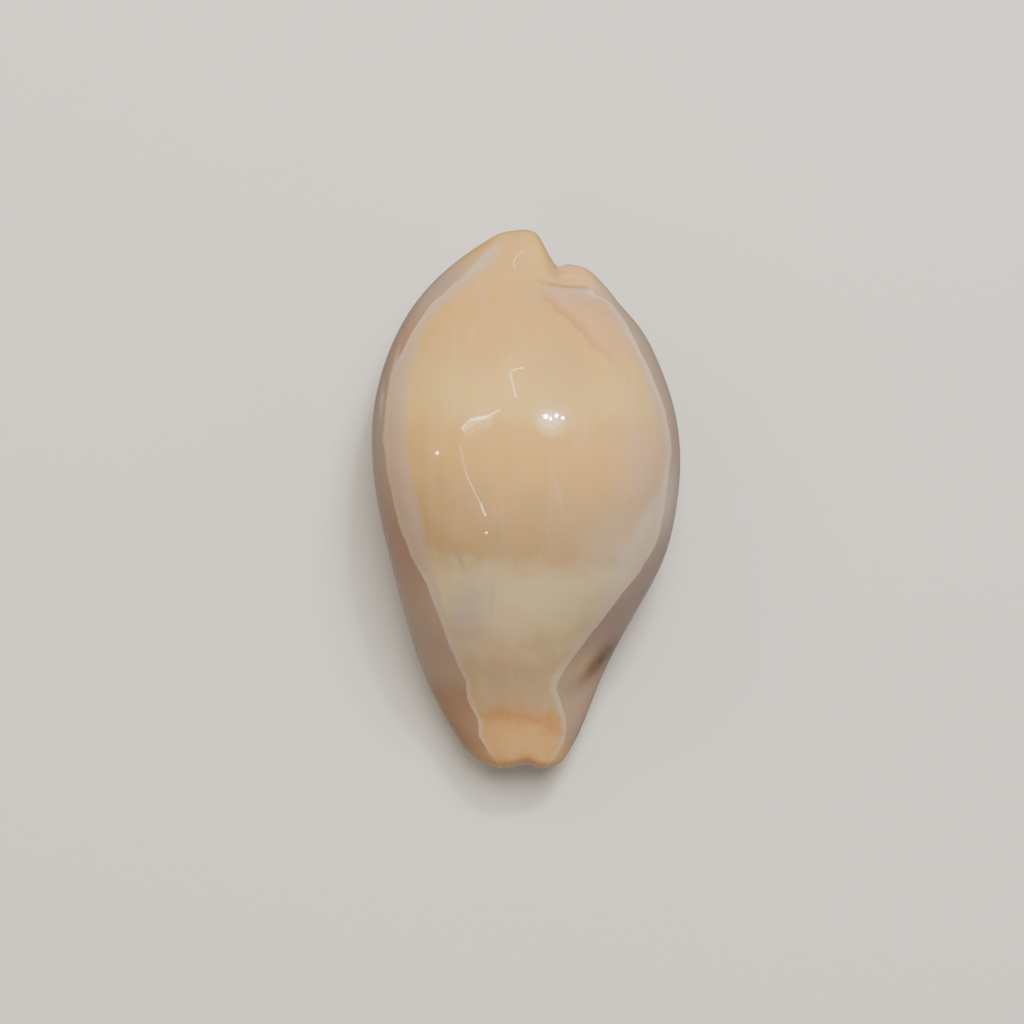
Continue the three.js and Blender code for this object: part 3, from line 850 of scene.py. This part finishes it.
def add_wedge(w, colour, x, y):
    """A rosy wedge beside the spire, with an orange edge towards the crest."""
    (x1, y1), (x2, y2) = WEDGE_START, WEDGE_END
    span = math.hypot(x2 - x1, y2 - y1)
    step_x, step_y = (x2 - x1) / span, (y2 - y1) / span
    away_x, away_y = w.math("SUBTRACT", x, x1), w.math("SUBTRACT", y, y1)
    along_edge = w.math("MULTIPLY_ADD", away_x, step_x, w.math("MULTIPLY", away_y, step_y))
    across = w.math("MULTIPLY_ADD", away_x, -step_y, w.math("MULTIPLY", away_y, step_x))
    bend = noise_of(w, along_edge, WEDGE_STRAY, "1D")
    bend = w.math("MULTIPLY", w.math("SUBTRACT", bend, 0.5), WEDGE_STRAY["reach"])
    across = w.math("ADD", across, bend)
    comes = w.ramp(along_edge, *WEDGE_ALONG["comes"])
    fade = w.math("MULTIPLY", comes, w.ramp(along_edge, *WEDGE_ALONG["goes"]))
    rose = w.math("MULTIPLY", w.ramp(across, *WEDGE_ROSE["comes"]), fade)
    colour = lay(w, colour, rose, WEDGE_ROSE["share"], ROSE)
    comes = w.ramp(across, *WEDGE_EDGE["comes"])
    near_edge = w.math("MULTIPLY", comes, w.ramp(across, *WEDGE_EDGE["goes"]))
    return lay(w, colour, w.math("MULTIPLY", near_edge, fade), WEDGE_EDGE["share"], ORANGE)


def back_colour(w, place, x, y):
    """Broad bands across the back, with wandering edges, faint streaks and soft spots, among them a
    painted highlight on the left lobe and a rim spot that is partly painted highlight.
    """
    colour = tone_ramp(w, w.math("ADD", y, stray(w, place, BAND_STRAY)), BACK_TONES)
    clouds = w.ramp(noise_of(w, place, ROSY_CLOUDS), *ROSY_CLOUDS["range"])
    colour = lay(w, colour, clouds, ROSY_CLOUDS["share"], ROSE)
    stretched = w.vector("MULTIPLY", place, STREAK_STRETCH)
    streaks = w.ramp(noise_of(w, stretched, STREAKS), *STREAKS["range"])
    colour = lay(w, colour, streaks, STREAKS["share"], PEARL)
    colour = add_wedge(w, colour, x, y)
    return add_spots(w, colour, place, x, y, SPOTS)


def stored(w, name):
    return w.node("ShaderNodeAttribute", attribute_name=name).outputs["Fac"]


def glaze_and_reflection_band(w, side, y, wobble):
    """The paler band inside one edge of the marginal glaze, partly painted reflection, and the back
    inside that edge.
    """
    wider = w.ramp(y, *SPIRE_EDGE["y"])
    edge = w.math("MULTIPLY_ADD", wider, SPIRE_EDGE["wider"], GLAZE_EDGE)
    distance = w.math("ADD", stored(w, "glaze_" + side), wobble)
    inside_edge = w.ramp(distance, w.math("MULTIPLY", edge, -1.0), edge)
    width = w.math("ADD", stored(w, "band_" + side), wobble)
    fade = w.ramp(width, BAND_END, BAND_END - BAND_SOFTNESS[side])
    return w.math("MULTIPLY", inside_edge, fade), inside_edge


def glaze_and_reflection_ridge(w, side, wobble, limits, kept):
    """The palest line of a band, close to the glaze's edge, as far as it is kept there: partly the
    glaze's own tone, partly painted reflection.
    """
    ridge = w.ramp(w.math("ADD", stored(w, "glaze_" + side), wobble), *limits["distance"])
    return w.math("MULTIPLY", ridge, kept)


def add_margins_with_painted_light(w, colour, place, x, y):
    """Marginal glaze: a pale band just inside its edge and darker margins outside it; the band is
    partly painted reflection, the margins partly painted shade.
    """
    wobble = stray(w, place, EDGE_STRAY)
    band_left, in_left = glaze_and_reflection_band(w, "left", y, wobble)
    band_right, in_right = glaze_and_reflection_band(w, "right", y, wobble)
    below_rim = w.ramp(y, *BELOW_RIM_Y)
    below_lobe = w.ramp(y, *BELOW_LOBE_Y)
    band_right = w.math("MULTIPLY", band_right, below_rim)
    band_left = w.math("MULTIPLY", band_left, below_lobe)
    weaker = w.ramp(y, *BAND_SHARE["y"])
    share = w.math("MULTIPLY_ADD", weaker, -BAND_SHARE["less"], BAND_SHARE["most"])
    # Pale band inside the glaze's edge: partly its own tone, partly painted reflection.
    colour = w.mix(w.math("MULTIPLY", band_left, share), colour, tone(LILAC))
    right_tone = w.mix(w.ramp(y, *PEARLY_BAND_Y), tone(LILAC), tone(PEARL))
    colour = w.mix(w.math("MULTIPLY", band_right, share), colour, right_tone)
    kept_right = w.math("MULTIPLY", below_rim, w.ramp(y, *RIDGE_RIGHT["y"]))
    kept_left = w.math("MULTIPLY", below_lobe, RIDGE_LEFT["share"])
    ridge_right = glaze_and_reflection_ridge(w, "right", wobble, RIDGE_RIGHT, kept_right)
    ridge_left = glaze_and_reflection_ridge(w, "left", wobble, RIDGE_LEFT, kept_left)
    ridge = w.math("MAXIMUM", ridge_right, ridge_left)
    # Palest ridge of the band: partly the glaze's own tone, partly painted reflection.
    colour = lay(w, colour, ridge, RIDGE_SHARE, MILK_SHEEN)
    # Darker margins outside the glaze's edge: partly their own tones, partly painted shade.
    for tones, within in ((LABRAL_TONES_WITH_SHADE, in_left), (COLUMELLAR_TONES_WITH_SHADE, in_right)):
        margin = add_spots(w, tone_ramp(w, y, tones), place, x, y, MARGIN_SPOTS_AND_PAINTED_LIGHT)
        colour = w.mix(w.math("SUBTRACT", 1.0, within), colour, margin)
    return colour


def add_base(w, colour, z):
    """Tones of the base, the teeth, the gaps between them, and the chamber."""
    colour = lay(w, colour, w.ramp(z, *LOW["z"]), LOW["share"], BASE_TONE)
    lift = w.node("ShaderNodeAttribute", attribute_name="lift")
    size = w.node("ShaderNodeVectorMath", operation="LENGTH")
    w.feed(size.inputs[0], lift.outputs["Vector"])
    by_lip = w.ramp(size.outputs["Value"], *BY_LIP_RANGE)
    tooth = w.ramp(stored(w, "tooth"), *TOOTH["range"])
    gap = w.math("MULTIPLY", by_lip, w.math("SUBTRACT", 1.0, tooth))
    colour = lay(w, colour, gap, GAP_SHARE, GAP_TONE)
    colour = lay(w, colour, tooth, TOOTH["share"], TOOTH_TONE)
    return w.mix(w.ramp(stored(w, "inner"), *CHAMBER_RANGE), colour, tone(CHAMBER_TONE))


def glaze_relief(w, place):
    """Normal of the glaze, with its growth lines and swells."""
    stretched = w.vector("MULTIPLY", place, GROWTH_STRETCH)
    lines = w.math("MULTIPLY", noise_of(w, stretched, GROWTH_LINES), GROWTH_LINES["height"])
    swells = w.math("MULTIPLY", noise_of(w, place, SWELLS), SWELLS["height"])
    bump = w.node("ShaderNodeBump")
    w.feed(bump.inputs["Height"], w.math("ADD", lines, swells))
    bump.inputs["Distance"].default_value = 1.0
    bump.inputs["Strength"].default_value = 1.0
    return bump.outputs[0]


def glaze_material():
    material = bpy.data.materials.new("cowrie_glaze")
    material.use_nodes = True
    w = Wiring(material.node_tree)
    shader = material.node_tree.nodes["Principled BSDF"]
    coords = w.node("ShaderNodeTexCoord").outputs["Object"]
    place = w.vector("SCALE", coords, scale=1 / MM)
    apart = w.node("ShaderNodeSeparateXYZ")
    w.feed(apart.inputs[0], place)
    x, y, z = apart.outputs
    colour = back_colour(w, place, x, y)
    colour = add_margins_with_painted_light(w, colour, place, x, y)
    # Painted shade: on the ledge under the rim, and in the crease.
    colour = lay(w, colour, stored(w, "ledge"), LEDGE_SHADE_SHARE, MAUVE)
    colour = lay(w, colour, stored(w, "crease"), CREASE_SHADE_SHARE, SHADE_UMBER)
    colour = add_base(w, colour, z)
    dull = noise_of(w, place, DULLNESS)
    dull = w.math("MULTIPLY_ADD", dull, DULLNESS["reach"], DULLNESS["least"])
    w.feed(shader.inputs["Base Color"], colour)
    w.feed(shader.inputs["Roughness"], dull)
    w.feed(shader.inputs["Normal"], glaze_relief(w, place))
    for name, value in GLOSS.items():
        shader.inputs[name].default_value = value
    return material


def build_shell():
    material = glaze_material()
    body = bpy.data.objects.new("shell_plain", shell_mesh())
    bpy.context.scene.collection.objects.link(body)
    mesh = raise_teeth(body, material)
    bpy.data.objects.remove(body)
    mesh.name = "cowrie"
    mesh.shade_smooth()
    shell = bpy.data.objects.new("cowrie", mesh)
    bpy.context.scene.collection.objects.link(shell)
    fit(mesh)
    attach(shell, "root")
    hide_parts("shell")
    return shell


def fit(mesh):
    """Stands the mesh in the CAD box, which takes out what finer sampling adds to it."""
    points = np.empty(len(mesh.vertices) * 3, np.float32)
    mesh.vertices.foreach_get("co", points)
    points = points.reshape(-1, 3)
    low, high = points.min(0), points.max(0)
    cad_low, cad_high = np.array(CAD_BOX)
    points = cad_low + (points - low) * (cad_high - cad_low) / (high - low)
    mesh.vertices.foreach_set("co", points.ravel())
    mesh.update()


# Floor, camera and world. Lengths are in metres, but for the sensor's, which Blender takes
# in millimetres.
FLOOR_SIZE = 1.2
CAMERA_HEIGHT = 0.6
CAMERA_AIM = (-1.04 * MM, -0.93 * MM, 6 * MM)
CAMERA_CLIP = (0.01, 5)
VIEW_WIDTH = 75.85 * MM
SENSOR = 36.0
FLOOR_TONE = "CAC8C4"
FLOOR_ROUGHNESS = 0.8
WORLD_TONE = "EADFD4"
WORLD_STRENGTH = 0.34


def build_floor():
    """A plain floor that the glaze doesn't mirror: in the photograph there is none to mirror."""
    mesh = bpy.data.meshes.new("floor")
    half = FLOOR_SIZE / 2
    corners = [(-half, -half, 0), (half, -half, 0), (half, half, 0), (-half, half, 0)]
    mesh.from_pydata(corners, [], [(0, 1, 2, 3)])
    floor = bpy.data.objects.new("floor", mesh)
    material = bpy.data.materials.new("pale_floor")
    material.use_nodes = True
    shader = material.node_tree.nodes["Principled BSDF"]
    shader.inputs["Base Color"].default_value = tone(FLOOR_TONE)
    shader.inputs["Roughness"].default_value = FLOOR_ROUGHNESS
    mesh.materials.append(material)
    bpy.context.scene.collection.objects.link(floor)
    floor.visible_glossy = False


def add_light(name, place, aim, size, power, colour="FFFFFF", tall=None):
    """An area light: a disk, or a strip that is tall along its own height."""
    light = bpy.data.lights.new(name, "AREA")
    light.shape = "RECTANGLE" if tall else "DISK"
    light.size = size
    if tall:
        light.size_y = tall
    light.energy = power
    light.color = tone(colour)[:3]
    lamp = bpy.data.objects.new(name, light)
    lamp.location = place
    lamp.rotation_euler = (Vector(aim) - Vector(place)).to_track_quat("-Z", "Y").to_euler()
    bpy.context.scene.collection.objects.link(lamp)
    return lamp


def add_strip(name, start, end, width, radiance):
    """A thin strip light between two points, facing the shell."""
    start, end = Vector(start), Vector(end)
    middle = (start + end) / 2
    along_strip = (end - start).normalized()
    outward = (middle - Vector(SHELL_MIDDLE)).normalized()
    across = along_strip.cross(outward).normalized()
    outward = across.cross(along_strip)
    span = (end - start).length
    lamp = add_light(name, middle, SHELL_MIDDLE, width, radiance * math.pi * width * span,
                     STRIP_TONE, tall=span)
    lamp.rotation_euler = Matrix((across, along_strip, outward)).transposed().to_euler()


# Lights, aimed at the shell's middle. The soft ones shape the shell and aren't mirrored:
# (name, place, size, power, tone). The glaze mirrors the small ones: bulbs (name, place,
# size, radiance) and strips (name, start, end, width, radiance).
SHELL_MIDDLE = (0, 0, 8 * MM)
SOFT_LIGHTS = (
    ("soft_top", (0.10, 0.28, 0.66), 0.45, 7.0, "FAF4E2"),
    ("soft_left", (-0.5, 0.0, 0.3), 0.4, 0.15, "F2F4FF"),
    ("soft_right", (0.5, 0.05, 0.35), 0.4, 0.35, "FFFFFF"),
)
BULBS = (
    ("bulb_a", (0.057, 0.213, 0.294), 0.020, 320),
    ("bulb_b", (0.077, 0.203, 0.296), 0.013, 300),
    ("bulb_c", (0.100, 0.213, 0.282), 0.015, 320),
    ("bulb_d", (0.124, 0.203, 0.280), 0.012, 300),
    ("bulb_left", (-0.327, 0.038, 0.153), 0.013, 100),
    ("bulb_low", (-0.157, -0.233, 0.230), 0.012, 40),
    ("glow_near", (0.075, 0.194, 0.303), 0.075, 6),
    ("glow_wide", (0.080, 0.186, 0.305), 0.12, 4),
)
STRIPS = (
    ("crescent_a", (-0.241, 0.142, 0.235), (-0.204, 0.181, 0.244), 0.008, 22),
    ("crescent_b", (-0.204, 0.181, 0.244), (-0.148, 0.202, 0.267), 0.012, 36),
    ("crescent_c", (-0.148, 0.202, 0.267), (-0.098, 0.232, 0.267), 0.008, 24),
    ("crescent_glow_a", (-0.236, 0.138, 0.238), (-0.190, 0.174, 0.254), 0.022, 8),
    ("crescent_glow_b", (-0.232, 0.126, 0.247), (-0.192, 0.157, 0.265), 0.040, 4),
    ("crescent_glow_c", (-0.192, 0.174, 0.256), (-0.120, 0.208, 0.273), 0.018, 7),
    ("crescent_glow_d", (-0.186, 0.165, 0.265), (-0.134, 0.190, 0.281), 0.036, 4),
    ("line_a", (-0.255, 0.082, 0.249), (-0.246, -0.006, 0.270), 0.005, 11),
    ("line_b", (-0.246, -0.006, 0.270), (-0.190, -0.128, 0.283), 0.005, 15),
    ("line_c", (-0.190, -0.128, 0.283), (-0.166, -0.177, 0.269), 0.010, 26),
    ("upper_a", (-0.056, 0.327, 0.153), (-0.018, 0.334, 0.145), 0.006, 20),
    ("upper_b", (-0.054, 0.326, 0.158), (-0.044, 0.272, 0.242), 0.006, 17),
)
STRIP_TONE = "FFF0DE"


def build_lights():
    for name, place, size, power, colour in SOFT_LIGHTS:
        lamp = add_light(name, place, SHELL_MIDDLE, size, power, colour)
        lamp.visible_glossy = False
    for name, place, size, radiance in BULBS:
        area = math.pi * size ** 2 / 4
        add_light(name, place, SHELL_MIDDLE, size, radiance * math.pi * area)
    for name, start, end, width, radiance in STRIPS:
        add_strip(name, start, end, width, radiance)
    world = bpy.data.worlds.new("studio")
    world.use_nodes = True
    background = world.node_tree.nodes["Background"]
    background.inputs["Color"].default_value = tone(WORLD_TONE)
    background.inputs["Strength"].default_value = WORLD_STRENGTH
    bpy.context.scene.world = world


def build_camera():
    camera = bpy.data.cameras.new("camera")
    camera.sensor_width = SENSOR
    camera.lens = SENSOR * (CAMERA_HEIGHT - CAMERA_AIM[2]) / VIEW_WIDTH
    camera.clip_start, camera.clip_end = CAMERA_CLIP
    holder = bpy.data.objects.new("camera", camera)
    holder.location = (CAMERA_AIM[0], CAMERA_AIM[1], CAMERA_HEIGHT)
    bpy.context.scene.collection.objects.link(holder)
    bpy.context.scene.camera = holder


build_camera()
build_floor()
build_lights()
build_shell()
